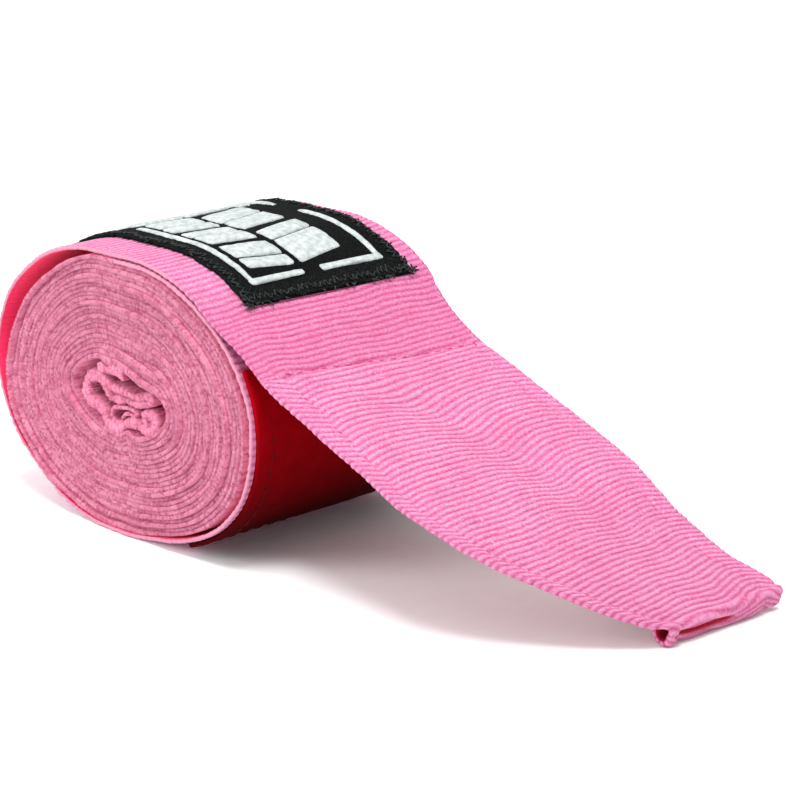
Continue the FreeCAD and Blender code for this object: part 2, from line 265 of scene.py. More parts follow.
# place(share along, ring values) gives x, y, z in millimetres and the surface's attributes
def clothMesh(name, steps, ring, place, uvSize):
    around = ring.shape[1] - 1
    bm = bmesh.new()
    bm.loops.layers.uv.new("UVMap")
    bmesh.ops.create_grid(bm, x_segments=steps, y_segments=around, size=1.0, calc_uvs=True)
    mesh = bpy.data.meshes.new(name)
    bm.to_mesh(mesh)
    bm.free()
    flat = np.zeros(len(mesh.vertices) * 3)
    mesh.vertices.foreach_get("co", flat)
    flat = flat.reshape(-1, 3)
    share = (flat[:, 0] + 1) / 2
    index = np.rint((flat[:, 1] + 1) / 2 * around).astype(int)
    points, attributes = place(share, *ring[:, index])
    mesh.vertices.foreach_set("co", (np.column_stack(points) * mm).ravel())
    for label, values in attributes.items():
        layer = mesh.attributes.new(label, "FLOAT", "POINT")
        layer.data.foreach_set("value", values.astype(np.float32))
    uv = np.zeros(len(mesh.loops) * 2)
    mesh.uv_layers[0].uv.foreach_get("vector", uv)
    uv = uv.reshape(-1, 2)
    mesh.uv_layers[0].uv.foreach_set("vector", (uv * np.array(uvSize) / 10).ravel())
    bm = bmesh.new()
    bm.from_mesh(mesh)
    bmesh.ops.remove_doubles(bm, verts=bm.verts, dist=2e-7)
    openEdges = [edge for edge in bm.edges if edge.is_boundary]
    bmesh.ops.holes_fill(bm, edges=openEdges, sides=0)
    bmesh.ops.recalc_face_normals(bm, faces=bm.faces)
    for face in bm.faces:
        face.smooth = True
    bm.to_mesh(mesh)
    bm.free()
    mesh.set_sharp_from_angle(angle=math.radians(72))
    return mesh


def joinMeshes(name, meshes):
    bm = bmesh.new()
    for mesh in meshes:
        bm.from_mesh(mesh)
    joined = bpy.data.meshes.new(name)
    bm.to_mesh(joined)
    bm.free()
    for mesh in meshes:
        bpy.data.meshes.remove(mesh)
    return joined


# fine threads, each a short smooth line of points in millimetres
def threadMesh(name, lines, radius):
    data = bpy.data.curves.new(name, "CURVE")
    data.dimensions = "3D"
    data.bevel_depth = radius * mm
    data.bevel_resolution = 1
    data.resolution_u = 2
    data.use_fill_caps = True
    for line in lines:
        spline = data.splines.new("NURBS")
        spline.points.add(len(line) - 1)
        for point, place in zip(spline.points, line):
            point.co = (place[0] * mm, place[1] * mm, place[2] * mm, 1)
        spline.order_u = 3
        spline.use_endpoint_u = True
    holder = bpy.data.objects.new(name, data)
    scene.collection.objects.link(holder)
    bpy.context.view_layer.update()
    evaluated = holder.evaluated_get(bpy.context.evaluated_depsgraph_get())
    mesh = bpy.data.meshes.new_from_object(evaluated)
    bpy.data.objects.remove(holder)
    bpy.data.curves.remove(data)
    mesh.name = name
    for face in mesh.polygons:
        face.use_smooth = True
    return mesh


def threadPiece(name, lines, radius, material):
    return newObject(name, threadMesh(name, lines, radius), material)


# materials
class Nodes:
    def __init__(self, name):
        self.material = bpy.data.materials.new(name)
        self.material.use_nodes = True
        self.tree = self.material.node_tree
        self.tree.nodes.clear()

    def add(self, kind, inputs=None, **settings):
        node = self.tree.nodes.new("ShaderNode" + kind)
        for key, value in settings.items():
            setattr(node, key, value)
        for key, value in (inputs or {}).items():
            if isinstance(value, bpy.types.NodeSocket):
                self.tree.links.new(value, node.inputs[key])
            else:
                node.inputs[key].default_value = value
        return node

    def math(self, operation, a, b=0.5):
        return self.add("Math", {0: a, 1: b}, operation=operation).outputs[0]

    def mix(self, share, a, b, blend="MIX"):
        node = self.add("Mix", data_type="RGBA", blend_type=blend)
        for socket, value in ((node.inputs[0], share), (node.inputs[6], a), (node.inputs[7], b)):
            if isinstance(value, bpy.types.NodeSocket):
                self.tree.links.new(value, socket)
            else:
                socket.default_value = value
        return node.outputs[2]

    def coords(self, kind="UV"):
        return self.add("TexCoord").outputs[kind]

    def scaled(self, vector, scale):
        return self.add("Mapping", {"Vector": vector, "Scale": scale}).outputs[0]

    def attribute(self, name):
        return self.add("Attribute", attribute_name=name).outputs["Fac"]

    def noise(self, vector, scale, detail=2.0, roughness=0.5):
        values = {"Vector": vector, "Scale": scale, "Detail": detail, "Roughness": roughness}
        return self.add("TexNoise", values).outputs["Fac"]

    def spread(self, value, low, high, toLow=0.0, toHigh=1.0):
        values = {"Value": value, "From Min": low, "From Max": high, "To Min": toLow, "To Max": toHigh}
        return self.add("MapRange", values).outputs[0]

    def cells(self, vector, **inputs):
        values = {"Vector": vector, "Scale": 1.0, **inputs}
        return self.add("TexVoronoi", values, feature="F1").outputs["Distance"]

    def finish(self, colour, height, strength, distance, roughness, gloss=0.5, sheen=0.0):
        bump = self.add("Bump", {"Height": height, "Strength": strength, "Distance": distance})
        shader = self.add("BsdfPrincipled", {"Base Color": colour, "Normal": bump.outputs[0]})
        shader.inputs["Roughness"].default_value = roughness
        shader.inputs["Specular IOR Level"].default_value = gloss
        shader.inputs["Sheen Weight"].default_value = sheen
        shader.inputs["Sheen Roughness"].default_value = 0.5
        output = self.add("OutputMaterial")
        self.tree.links.new(shader.outputs[0], output.inputs[0])
        return self.material


def linear(red, green, blue):
    values = [c / 255 for c in (red, green, blue)]
    return (*[c / 12.92 if c <= 0.04045 else ((c + 0.055) / 1.055) ** 2.4 for c in values], 1.0)


studioLevel = 0.6  # how much of a finish's seen brightness its own colour carries under the lights


def dyed(red, green, blue, level=studioLevel):
    return (*[value * level for value in linear(red, green, blue)[:3]], 1.0)


# valley is a darker tone that also paints shade in the rib valleys and on the neck; pale is a paler tone that
# also paints a highlight on the rib crests
cotton = {
    "ridge": dyed(252, 152, 204, 0.64), "valley": dyed(208, 62, 126, 0.62), "pale": dyed(255, 212, 234, 0.66),
    # inside: a painted crimson of shade and inter-reflected light on inner faces; deep: the darker painted
    # shade in the end fold
    "inside": dyed(255, 52, 106, 0.95), "deep": dyed(190, 0, 50), "edge": dyed(236, 140, 172, 0.72),
}


# ribbed cotton: deeper in the rib valleys (painted shade), paler on the rib crests (painted highlight) and
# where the yarn stands up, fine knit over it
def cottonMaterial(name, ridge, valley, pale):
    n = Nodes(name)
    uv = n.coords()
    rib = n.attribute("rib")
    inside = n.attribute("inside")
    yarn = n.noise(n.scaled(uv, (38, 22, 1)), 1.0, 3.0, 0.65)
    knit = n.cells(n.scaled(uv, (24, 17, 1)))
    patch = n.noise(n.scaled(uv, (0.9, 0.7, 1)), 1.0, 2.0)
    speck = n.noise(n.scaled(uv, (11, 8, 1)), 1.0, 2.0, 0.7)
    # rib valleys take the valley colour as painted shade, rib crests the pale colour as painted highlight
    body = n.mix(n.spread(rib, 0.08, 0.85), valley, ridge)
    body = n.mix(n.spread(rib, 0.82, 1.0, 0.0, 0.35), body, pale)
    body = n.mix(n.spread(yarn, 0.5, 0.8, 0.0, 0.75), body, pale)
    body = n.mix(n.spread(knit, 0.35, 0.75, 0.0, 0.4), body, valley)
    body = n.mix(n.spread(patch, 0.35, 0.7, 0.0, 0.22), body, valley)
    body = n.mix(n.spread(speck, 0.58, 0.76, 0.0, 0.5), body, pale)
    body = n.mix(n.math("MULTIPLY", n.attribute("shade"), 0.26), body, valley)
    body = n.mix(n.attribute("edge"), body, n.mix(n.spread(yarn, 0.4, 0.8), cotton["edge"], pale))
    # inner faces, the slit and the end fold take the painted crimson of shade and inter-reflected light,
    # darker (deep) in the end fold
    body = n.mix(inside, body, n.mix(n.attribute("deep"), cotton["inside"], cotton["deep"]))
    height = n.math("ADD", n.math("MULTIPLY", yarn, 0.8), n.math("MULTIPLY", knit, -0.6))
    return n.finish(body, height, 0.85, 0.00028, 0.92, gloss=0.12, sheen=0.08)


# the strip's edges, seen side by side in the wound face; grooveShade paints shade where each edge falls away
# into the gaps between turns, and darkens between the knit beads
windings = {
    "grooveShade": dyed(200, 92, 128, 0.88), "knot": dyed(240, 150, 181, 0.88), "patch": dyed(226, 128, 160, 0.88),
    "yarn": dyed(252, 190, 212, 0.88), "grain": dyed(184, 74, 112, 0.88),
}


def coilMaterial(name):
    n = Nodes(name)
    uv = n.coords()
    knot = n.attribute("rib")
    place = n.coords("Object")
    yarn = n.noise(n.scaled(uv, (30, 30, 1)), 1.0, 3.0, 0.7)
    patch = n.noise(n.scaled(place, (90, 20, 90)), 1.0, 3.0)
    grain = n.noise(n.scaled(place, (1500, 500, 1500)), 1.0, 2.0, 0.6)
    # the knit beads at each edge's crest take the knot colour; off the crest, towards the gaps between turns,
    # grooveShade is painted shade
    body = n.mix(n.spread(knot, 0.0, 0.9), windings["grooveShade"], windings["knot"])
    body = n.mix(n.spread(patch, 0.35, 0.7, 0.0, 0.4), body, windings["patch"])
    body = n.mix(n.spread(yarn, 0.5, 0.85, 0.0, 0.5), body, windings["yarn"])
    body = n.mix(n.spread(grain, 0.5, 0.38, 0.0, 0.62), body, windings["grain"])
    height = n.math("ADD", n.math("MULTIPLY", yarn, 0.5), n.math("MULTIPLY", grain, 1.2))
    return n.finish(body, height, 0.95, 0.0006, 0.95, gloss=0.1, sheen=0.06)


def tapeMaterial(name, deep, light, fleckAndGlint, fleckAndGlintShare):
    n = Nodes(name)
    uv = n.coords()
    pile = n.noise(n.scaled(uv, (60, 60, 1)), 1.0, 3.0, 0.7)
    patch = n.noise(n.scaled(uv, (3, 3, 1)), 1.0, 3.0)
    hooks = n.cells(n.scaled(uv, (12, 12, 1)), Randomness=0.55)
    body = n.mix(n.spread(patch, 0.3, 0.7), deep, light)
    # pale flecks on the hook cells: a brighter tone on the loop tape, painted glints on the hook tape's hooks
    body = n.mix(n.spread(hooks, 0.22, 0.08, 0.0, fleckAndGlintShare), body, fleckAndGlint)
    # low darkens the tape to near-black red down its length: painted shadow under the roll
    body = n.mix(n.attribute("low"), body, dyed(38, 0, 2))
    height = n.math("ADD", n.math("MULTIPLY", pile, 0.5), n.math("MULTIPLY", hooks, -0.6))
    return n.finish(body, height, 0.35, 0.0002, 0.8, gloss=0.02)


# satin weave, with dark fuzzy thread towards the border
def labelMaterial():
    n = Nodes("labelSatin")
    uv = n.coords()
    border = n.attribute("border")
    bands = {"Vector": n.scaled(uv, (9, 9, 1)), "Scale": 1.0, "Distortion": 0.6, "Detail": 2.0}
    twill = n.add("TexWave", bands, bands_direction="DIAGONAL").outputs["Fac"]
    weave = n.cells(n.scaled(uv, (34, 20, 1)))
    fuzz = n.noise(n.scaled(uv, (26, 26, 1)), 1.0, 4.0, 0.75)
    body = n.mix(n.spread(weave, 0.1, 0.6), dyed(30, 33, 33), dyed(4, 5, 5))
    body = n.mix(n.math("MULTIPLY", n.spread(fuzz, 0.55, 0.75), border), body, dyed(84, 90, 89))
    height = n.math("ADD", n.math("MULTIPLY", twill, 0.35), n.math("MULTIPLY", weave, 0.6))
    return n.finish(body, height, 0.6, 0.0002, 0.75, gloss=0.05)


def threadMaterial(name, dark, light):
    n = Nodes(name)
    uv = n.coords("Object")
    fuzz = n.noise(n.scaled(uv, (2600, 2600, 2600)), 1.0, 3.0, 0.7)
    body = n.mix(n.spread(fuzz, 0.4, 0.7), dark, light)
    return n.finish(body, fuzz, 0.5, 0.0002, 0.75, gloss=0.12)


def printMaterial():
    n = Nodes("puffPrint")
    place = n.coords("Object")
    grain = n.noise(n.scaled(place, (900, 900, 900)), 1.0, 3.0, 0.6)
    pits = n.cells(n.scaled(place, (700, 700, 700)))
    body = n.mix(n.spread(grain, 0.35, 0.7), dyed(186, 194, 194), dyed(232, 238, 238))
    body = n.mix(n.spread(pits, 0.12, 0.02, 0.0, 0.35), body, dyed(120, 128, 128))
    return n.finish(body, n.math("ADD", grain, pits), 0.5, 0.0003, 0.6, gloss=0.25)


stripCotton = cottonMaterial("stripCotton", cotton["ridge"], cotton["valley"], cotton["pale"])
coilCotton = coilMaterial("coilCotton")
thumbCotton = coilMaterial("thumbCotton")
loopTape = tapeMaterial("loopTape", dyed(168, 0, 12), dyed(190, 0, 22), dyed(200, 8, 34), 0.12)
# the hook tape's pale flecks are painted glints on its plastic hooks
hookTape = tapeMaterial("hookTape", dyed(150, 10, 48), dyed(190, 28, 80), dyed(255, 180, 205), 0.8)
labelSatin = labelMaterial()
overlockThread = threadMaterial("overlockThread", dyed(10, 12, 12), dyed(84, 90, 90))
seamThread = threadMaterial("seamThread", dyed(206, 56, 116), dyed(238, 112, 164))
puffPrint = printMaterial()
print("materials made")

# the outer turn and the tail: one running cloth
cloth = {
    "ribPitch": (1.45, 1.45, 1.24, 1.24, 1.4, 1.36, 1.14, 0.94), "heightOuter": 0.15, "heightPanel": 0.22,
    "seamDent": 0.26, "crossDent": 0.42, "crossSkew": 0.085, "crossAfter": 1.4,
    "edgeRadius": 0.46, "valleyDepth": 1.0, "puff": 0.3, "hem": 0.55, "tipSkew": 1.6, "lip": 0.7, "slit": 1.5,
}

# how far the far edge draws in along the tail (depth, place, half length) and flares at its end,
# and how far the side seams lie in from the edges
outline = {
    "waists": ((1.7, 20, 24), (1.8, 42, 20), (2.4, 68, 12)), "flare": 3.0, "flareStart": 79, "endInset": 1.2,
    "nearHem": 5.1, "nearHemLess": 2.2, "farHem": 1.6, "farHemMore": 1.9,
}


def nearEdge(s):
    into = np.clip((s - (flatEnd - tail["taperStart"])) / tail["taperStart"], 0, 1.02)
    taper = (strip["width"] - tail["tipWidth"]) * into ** tail["taperPower"]
    return -halfWidth + taper + outline["endInset"] * smooth((s - flatEnd + 2) / 4)


def farEdge(s):
    past = s - leave
    first, second, third = (depth * hump(past - at, reach) for depth, at, reach in outline["waists"])
    narrow = first * smooth(past / 6) + second + third
    return halfWidth - narrow + outline["flare"] * smooth((past - outline["flareStart"]) / 8)


def nearSeam(s):
    return nearEdge(s) + outline["nearHem"] - outline["nearHemLess"] * smooth((s - curlAt) / 34)


def farSeam(s):
    return farEdge(s) - outline["farHem"] - outline["farHemMore"] * smooth((s - curlAt) / 22)


def crossSeam(y):
    return curlAt + cloth["crossAfter"] + cloth["crossSkew"] * y


# ribs lie closer towards the tip: their count up to each place on the strip
crossStart = curlAt + cloth["crossAfter"]
pitchPlaces = (coilEnd, leave - 8, leave + 2, crossStart, crossStart + 2, wrapAt, tipAt, flatEnd - 4)
countPlaces = np.linspace(coilEnd - 5, stripEnd + 5, 6000)
ribPitches = np.interp(countPlaces, pitchPlaces, cloth["ribPitch"])
ribCounts = np.cumsum((countPlaces[1] - countPlaces[0]) / ribPitches)


# distance from the soft valley that runs aslant down the tail
def fromValley(s, y):
    return y - (-3 + 0.30 * (s - curlAt - 12))


# rib count at a place on the cloth, so that a whole number is a ridge
def ribPhase(s, y):
    sewn = smooth((s - crossSeam(y)) / 2.0)
    waves = 0.32 * ripples(y / 7.5, s / 16, 3) + 0.1 * lumps(y / 1.6, s / 1.5, 5)
    nearPull = np.clip(nearSeam(s) - y, 0, 8)
    farPull = np.clip(y - farSeam(s), 0, 6)
    valley = hump(fromValley(s, y), 5.0) * smooth((s - curlAt - 4) / 12)
    pull = sewn * (0.42 * nearPull - 0.5 * farPull)
    neckPull = (1 - sewn) * smooth((s - leave) / 6) * 0.9 * np.sin((y + 25) / 3.1) * hump(y + 19, 6)
    tipCurve = 0.9 * smooth((s - tipAt) / 22) * ((y - nearEdge(s)) / 25 - 0.5) * 2
    return np.interp(s + waves + pull + neckPull - 1.1 * valley + tipCurve, countPlaces, ribCounts)


def ridgeShape(phase):
    return np.abs(np.cos(math.pi * phase)) ** 0.75


# height of the cloth's top face over its middle line, and the rib's own height from 0 to 1
def clothTop(s, y):
    ridge = ridgeShape(ribPhase(s, y))
    onTail = smooth((s - leave) / 5)
    sewn = smooth((s - crossSeam(y) - 0.3) / 2.5)
    high = cloth["heightOuter"] + (cloth["heightPanel"] - cloth["heightOuter"]) * sewn
    seamed = smooth((s - crossSeam(y)) / 1.0)
    nearLine, farLine = hump(y - nearSeam(s), 0.42) * seamed, hump(y - farSeam(s), 0.42) * seamed
    crossLine = hump(s - crossSeam(y), 0.5) * smooth((y - nearSeam(s)) / 1) * smooth((farSeam(s) - y) / 1)
    flatten = 1 - 0.75 * np.maximum(nearLine, farLine)
    top = halfThick + high * (ridge - 0.45) * flatten * (1 + 0.2 * lumps(y / 2.2, s / 1.7, 9))
    top = top - cloth["seamDent"] * (nearLine + farLine) - cloth["crossDent"] * crossLine * onTail
    within = smooth((y - nearSeam(s)) / 3) * smooth((farSeam(s) - y) / 3)
    top = top + cloth["puff"] * sewn * within
    hemmed = smooth((s - tipAt + 4) / 12) * hump(y - nearEdge(s) - 1.3, 1.3)
    return top + cloth["hem"] * hemmed, ridge


# how far the whole cloth sways out of its plain line
def sway(s, y):
    past = s - leave
    onTail = smooth(past / 8)
    valley = hump(fromValley(s, y), 6.0) * smooth((s - curlAt - 2) / 14) * (1 - smooth((s - tipAt - 6) / 16))
    wave = 0.35 * ripples(y / 11, s / 15, 21) * onTail * (1 - smooth((s - tipAt - 12) / 12))
    lift = 0.6 * onTail * hump(y + 25, 7) * hump(past - 10, 8)
    return wave - cloth["valleyDepth"] * valley + lift


# the roll stands a little rounder at its lower right than its plain line
def settle(x, z):
    return x, z + 0.8 * smooth((x - 1) / 9) * smooth((9 - z) / 9) * (x < 45)


# a point moved off the line by a height, square to the heading
def offLine(x, z, heading, offset):
    turned = np.radians(heading)
    return x - offset * np.sin(turned), z + offset * np.cos(turned)


# from a place on the strip and a height over its middle line to x and z; the far end of the
# tip runs on a little further than the near end
def stand(s, y, offset):
    x, z, heading = walk(wound, s)
    skew = cloth["tipSkew"] * smooth((s - tipAt - 12) / 16) * np.clip(y / 28, 0, 1)
    return offLine(*settle(x + skew, z), heading, offset)


# the end's tube has a soft lip over a slit that opens along its front, widest at the near end
def tipSlit(s, y):
    turned = np.degrees((s - flatEnd) / tail["endRadius"])
    along = y - nearEdge(s)
    wide = smooth((along - 0.8) / 1.5) * (1 - smooth((along - 10) / 7))
    return hump(turned - 80, 30) * (0.3 + 0.7 * wide), hump(turned - 14, 22)


def clothPoints(s, across, outward, side):
    near, far = nearEdge(s), farEdge(s)
    radius = cloth["edgeRadius"]
    y = near + radius + (far - near - 2 * radius) * across
    top, ridge = clothTop(s, y)
    edgeLump = 1 + 0.28 * lumps(s / 0.9, across * 3, 31) + 0.25 * (ridge - 0.5)
    onEdge = np.abs(outward)
    bottom = -halfThick - 0.1 * (ridge - 0.5)
    offset = np.where(side >= 0, side * top, -side * bottom)
    fullEdge = 0.16 * edgeLump * side * onEdge
    outside = y + outward * radius * edgeLump
    edgeWander = 0.22 * ripples(s / 2.6, across * 5, 33) * smooth(np.maximum(1 - across * 6, across * 6 - 5))
    slit, lip = tipSlit(s, y)
    offset = offset + fullEdge + sway(s, y) * smooth((flatEnd + 1.5 - s) / 3)
    x, z = stand(s, y, offset - cloth["slit"] * slit + cloth["lip"] * lip)
    woundEdge = onEdge * (1 - smooth((s - leave + 14) / 10))
    return (x, outside + edgeWander, z), {"rib": ridge, "edge": woundEdge, "y": y}


def clothPiece(name, start, end, step, ring, inside=None):
    def place(share, across, outward, side):
        s = start + (end - start) * share
        points, marks = clothPoints(s, across, outward, side)
        y = marks.pop("y")
        marks["inside"] = inside(s, y, side) if inside else s * 0
        # deep marks the end fold past the flat end, for its darker painted shade
        marks["deep"] = smooth((s - flatEnd) / 2)
        marks["shade"] = smooth((s - leave + 6) / 8) * (1 - smooth((s - crossSeam(y)) / 1.5))
        return points, marks

    steps = max(2, round((end - start) / step))
    return newObject(name, clothMesh(name, steps, ring, place, (end - start, 101.5)), stripCotton)


def foldWith(piece):
    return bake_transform(piece)


# a flat area in square metres, from a start to an end between two edges
def areaBetween(sides, start, end):
    at = np.linspace(start, end, 40)
    near, far = sides(at)
    return float(np.mean(far - near)) * (end - start) * mm * mm


# the outer turn's under face, most in the gap at its upper left, gets the painted crimson of shade and
# inter-reflected light
def paintedInnerShade(s, y, side):
    gap = smooth((s - coilEnd - 60) / 20) * (1 - smooth((s - leave + 12) / 8))
    return np.where(side < -0.5, 0.95, 0.0) * np.maximum(gap, 0.6)


tailRing = sectionRing(66, 5, 22)
turnRing = sectionRing(34, 5, 12)
outerTurn = clothPiece("outerTurn", coilEnd, leave - 3.0, 0.34, turnRing, paintedInnerShade)
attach(outerTurn, "roll")
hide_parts("wrap_outer_turn")
tailPieces = []
tailSpans = [
    ("tailNeck", leave - 3.0, splits[0], "tail_lift", "tail_neck"),
    ("tailBend", splits[0], splits[1], "tail_curl", "tail_first_panel"),
    ("tailPanel", splits[1], splits[2], "tail_wrap", "tail_second_panel"),
    ("tailTaper", splits[2], splits[3], "tip_bend", "tail_tip_panel"),
]
for name, start, end, joint, node in tailSpans:
    piece = clothPiece(name, start, end, 0.21, tailRing)
    foldWith(piece)
    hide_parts(node)
    tailPieces.append(piece)


# the end fold's under face and the slit under the lip get the painted dark crimson shade
def paintedTipShade(s, y, side):
    return np.where(side < 0, smooth((s - flatEnd + 1) / 3), smooth((tipSlit(s, y)[0] - 0.35) / 0.25))


tailTip = clothPiece("tailTip", splits[3], stripEnd, 0.18, tailRing, paintedTipShade)
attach(tailTip, "tail_tip")
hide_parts("tail_end_fold")
print("outer turn and tail made")

# the coil: 22 tight turns, seen from their edges
coil = {
    "knot": 0.97, "samplesPerKnot": 3, "thickness": 0.82, "edgeRadius": 0.1, "depthSpread": 0.5,
    "knotHeight": 0.22, "insetFromEdge": 0.3, "edgeFullness": 0.4,
}


# the coil's section is pushed about a little: dented under the core, sagging into it from
# above, and drawn away from the slack outer turn at the upper left
def coilField(x, z):
    up = z - coreHeight
    far = np.hypot(x / 36, up / 25)
    inner = 1 - smooth((far - 0.7) / 0.3)
    notch = hump(x - 1.5, 1.5) * np.exp(-np.abs(-up - coreHalfHeight) / 2.6) * (up < 0)
    kink = hump(x + 3.4, 1.6) * np.exp(-np.abs(up - coreHalfHeight) / 1.8) * (up > 0)
    sag = hump(x - 4.5, 7.0) * np.exp(-np.clip(up - coreHalfHeight, 0, 99) / 5.5) * smooth((up + 2.5) / 9.5)
    upperLeft = far ** 1.5 * smooth((-x - 2) / 22) * smooth((up + 5) / 16)
    lowerLeft = far ** 2 * smooth((-x - 4) / 20) * smooth((4 - up) / 14)
    moveX = 0.2 + 0.4 * ripples(x / 7, z / 7, 41) * inner + 1.7 * upperLeft - 1.2 * lowerLeft
    moveZ = 0.35 * ripples(x / 6, z / 6, 43) * inner + 1.3 * notch - 0.9 * kink - 2.9 * sag - 1.1 * upperLeft
    return settle(x + moveX, z + moveZ)


def coilPlace(share, across, outward, side):
    s = share * coilEnd
    turn = np.interp(s, turnStarts, np.arange(coilTurns + 1))
    x, z, heading = walk(wound, s)
    knotPhase = s / coil["knot"]
    bead = 0.5 + 0.5 * np.cos(2 * math.pi * knotPhase)
    twist = np.sin(2 * math.pi * knotPhase + 2.1)
    rough = lumps(s / 1.3, across * 9, 47)
    onEdge = np.abs(outward)
    half = coil["thickness"] / 2 * (0.94 + 0.12 * bead + 0.1 * rough)
    offset = side * half + 0.07 * twist * onEdge + 0.08 * rough * onEdge
    x, z = coilField(*offLine(x, z, heading, offset))
    whole = np.floor(turn)
    perTurn = lumps(whole * 1.0 + 0.5, np.zeros_like(whole), 53)
    depth = coil["depthSpread"] * (0.6 * ripples(turn / 2.4, s / 60, 55) + 0.2 * perTurn)
    depth = depth + 0.16 * ripples(s / 3.1, turn, 57)
    core = np.exp(-turn / 3.0)
    inset = coil["insetFromEdge"] + depth + 0.7 * core * ripples(s / 7, turn, 59)
    edge = np.where(across < 0.5, -halfWidth + inset, halfWidth - inset * 0.9)
    grow = coil["edgeRadius"] + coil["knotHeight"] * (bead - 0.4) + 0.1 * rough
    y = edge + np.sign(outward) * onEdge ** coil["edgeFullness"] * grow
    # rib is high on the knit beads at the edge's crest and low towards the gaps between turns, where the
    # material paints shade
    return (x, y, z), {"rib": np.clip(0.55 + 0.35 * bead * onEdge + 0.35 * rough, 0, 1)}


coilSteps = int(coilEnd / coil["knot"] * coil["samplesPerKnot"])
coilRing = sectionRing(2, 3, 2)
coilPiece = newObject("coil", clothMesh("coil", coilSteps, coilRing, coilPlace, (coilEnd, 101.5)), coilCotton)
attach(coilPiece, "roll")
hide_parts("wrap_coil")
print("coil made, triangles", len(coilPiece.data.polygons) * 2)

# the crumpled inner end and the thumb loop
core = {
    "thickness": 2.3, "knot": 1.0, "foldSides": (-24.9, 24.9),
    "thumbThickness": 0.9, "thumbSides": (-24.7, -9.6),
}
# the fold's line, from the core's middle: a curl, a low wave, back over a ball, then up
foldLine = [
    (7.6, -2.0), (8.2, -2.5), (7.6, -3.1), (6.7, -2.6), (6.5, -1.5), (7.5, -0.7), (8.9, -1.0), (9.6, -2.3),
    (9.0, -3.8), (7.4, -4.5), (5.8, -4.2), (4.4, -3.8), (3.0, -4.2), (1.4, -5.2), (0.0, -6.0), (-2.2, -6.3),
    (-4.3, -5.4), (-5.0, -3.7), (-6.4, -2.7), (-8.6, -2.1), (-9.8, -0.3), (-9.2, 1.8), (-7.3, 2.8),
    (-5.4, 1.9), (-4.2, 0.3), (-2.2, -0.4), (0.6, 0.4), (3.2, 0.5), (5.6, 1.4), (8.0, 2.0), (8.7, 3.2),
    (7.0, 3.9), (3.6, 2.9), (0.4, 2.8), (-2.4, 2.4), (-4.7, 3.7), (-5.0, 5.3), (-3.0, 6.4), (-0.6, 6.9),
    (1.2, 7.1),
]


# a smooth line through points, with the distance gone at each of its places
def smoothLine(points):
    p = np.array([points[0], *points, points[-1]], float)
    rows = []
    for k in range(len(p) - 3):
        t = np.linspace(0, 1, 12, endpoint=False)[:, None]
        a, b, c, d = p[k], p[k + 1], p[k + 2], p[k + 3]
        square, cube = 2 * a - 5 * b + 4 * c - d, 3 * b - a - 3 * c + d
        rows.append(0.5 * ((2 * b) + (c - a) * t + square * t ** 2 + cube * t ** 3))
    line = np.vstack([*rows, p[-1:]])
    gone = np.concatenate([[0], np.cumsum(np.hypot(*np.diff(line, axis=0).T))])
    return gone, line


def crumpledPiece(name, points, material, sides, thickness, step, depthWave, ring):
    gone, line = smoothLine(points)
    slope = np.unwrap(np.arctan2(np.gradient(line[:, 1]), np.gradient(line[:, 0])))

    def place(share, across, outward, side):
        s = share * gone[-1]
        x, z = np.interp(s, gone, line[:, 0]), np.interp(s, gone, line[:, 1])
        turned = np.interp(s, gone, slope)
        bead = 0.5 + 0.5 * np.cos(2 * math.pi * s / core["knot"])
        rough = lumps(s / 1.1, across * 12, 61)
        onEdge = np.abs(outward)
        offset = side * thickness / 2 * (0.9 + 0.25 * bead + 0.15 * rough)
        near = sides[0] + depthWave * ripples(s / 5.0, s * 0, 63)
        y = near + 0.6 + (sides[1] - near - 1.2) * across
        y = y + outward * (0.6 + 0.24 * (bead - 0.4) + 0.16 * rough)
        x, z = coilField(x - offset * np.sin(turned), z + offset * np.cos(turned) + coreHeight)
        # rib is high on the beads at the edge's crest and low off it, where the material paints shade
        return (x, y, z), {"rib": np.clip(0.35 + 0.5 * bead * np.maximum(onEdge, 0.4) + 0.25 * rough, 0, 1)}

    mesh = clothMesh(name, round(gone[-1] / step), ring, place, (gone[-1], 2 * (sides[1] - sides[0])))
    return newObject(name, mesh, material), gone[-1]


foldRing = sectionRing(26, 5, 26)
innerFold, foldLength = crumpledPiece(
    "innerFold", foldLine, coilCotton, core["foldSides"], core["thickness"], 0.33, 0.45, foldRing)
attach(innerFold, "roll")
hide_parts("wrap_inner_fold")

loopLine = [
    (-1.0, -5.2), (-2.7, -5.1), (-3.5, -3.9), (-2.8, -2.6), (-1.0, -2.0), (1.2, -1.7), (3.2, -1.4),
    (4.3, -1.9), (3.4, -2.6), (1.4, -2.9), (0.2, -3.6), (-0.2, -4.5), (-1.0, -5.2),
]
loopRing = sectionRing(14, 4, 14)
thumbLoop, thumbLength = crumpledPiece(
    "thumbLoop", loopLine, thumbCotton, core["thumbSides"], core["thumbThickness"], 0.35, 0.2, loopRing)
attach(thumbLoop, "roll")
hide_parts("thumb_loop")


def tackStitches():
    lines = []
    for k in range(5):
        y = -22.0 + 2.6 * k
        x, z = 0.6, coreHeight - 1.5
        lines.append([(x - 1.4, y, z), (x - 0.5, y, z + 0.3), (x + 0.5, y, z + 0.3), (x + 1.4, y, z)])
    return lines


thumbTack = threadPiece("thumbTack", tackStitches(), 0.2, seamThread)
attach(thumbTack, "roll")
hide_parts("thumb_loop_tack")
print("core made")

# tapes
tapes = {
    "loopInset": 2.0, "loopNearInset": 0.7, "loopThick": 1.0, "loopTurn": 22.0, "loopClear": 0.05,
    "hookInset": 5.0, "hookThick": 1.15, "hookStart": 2.2, "hookEnd": 2.4,
}


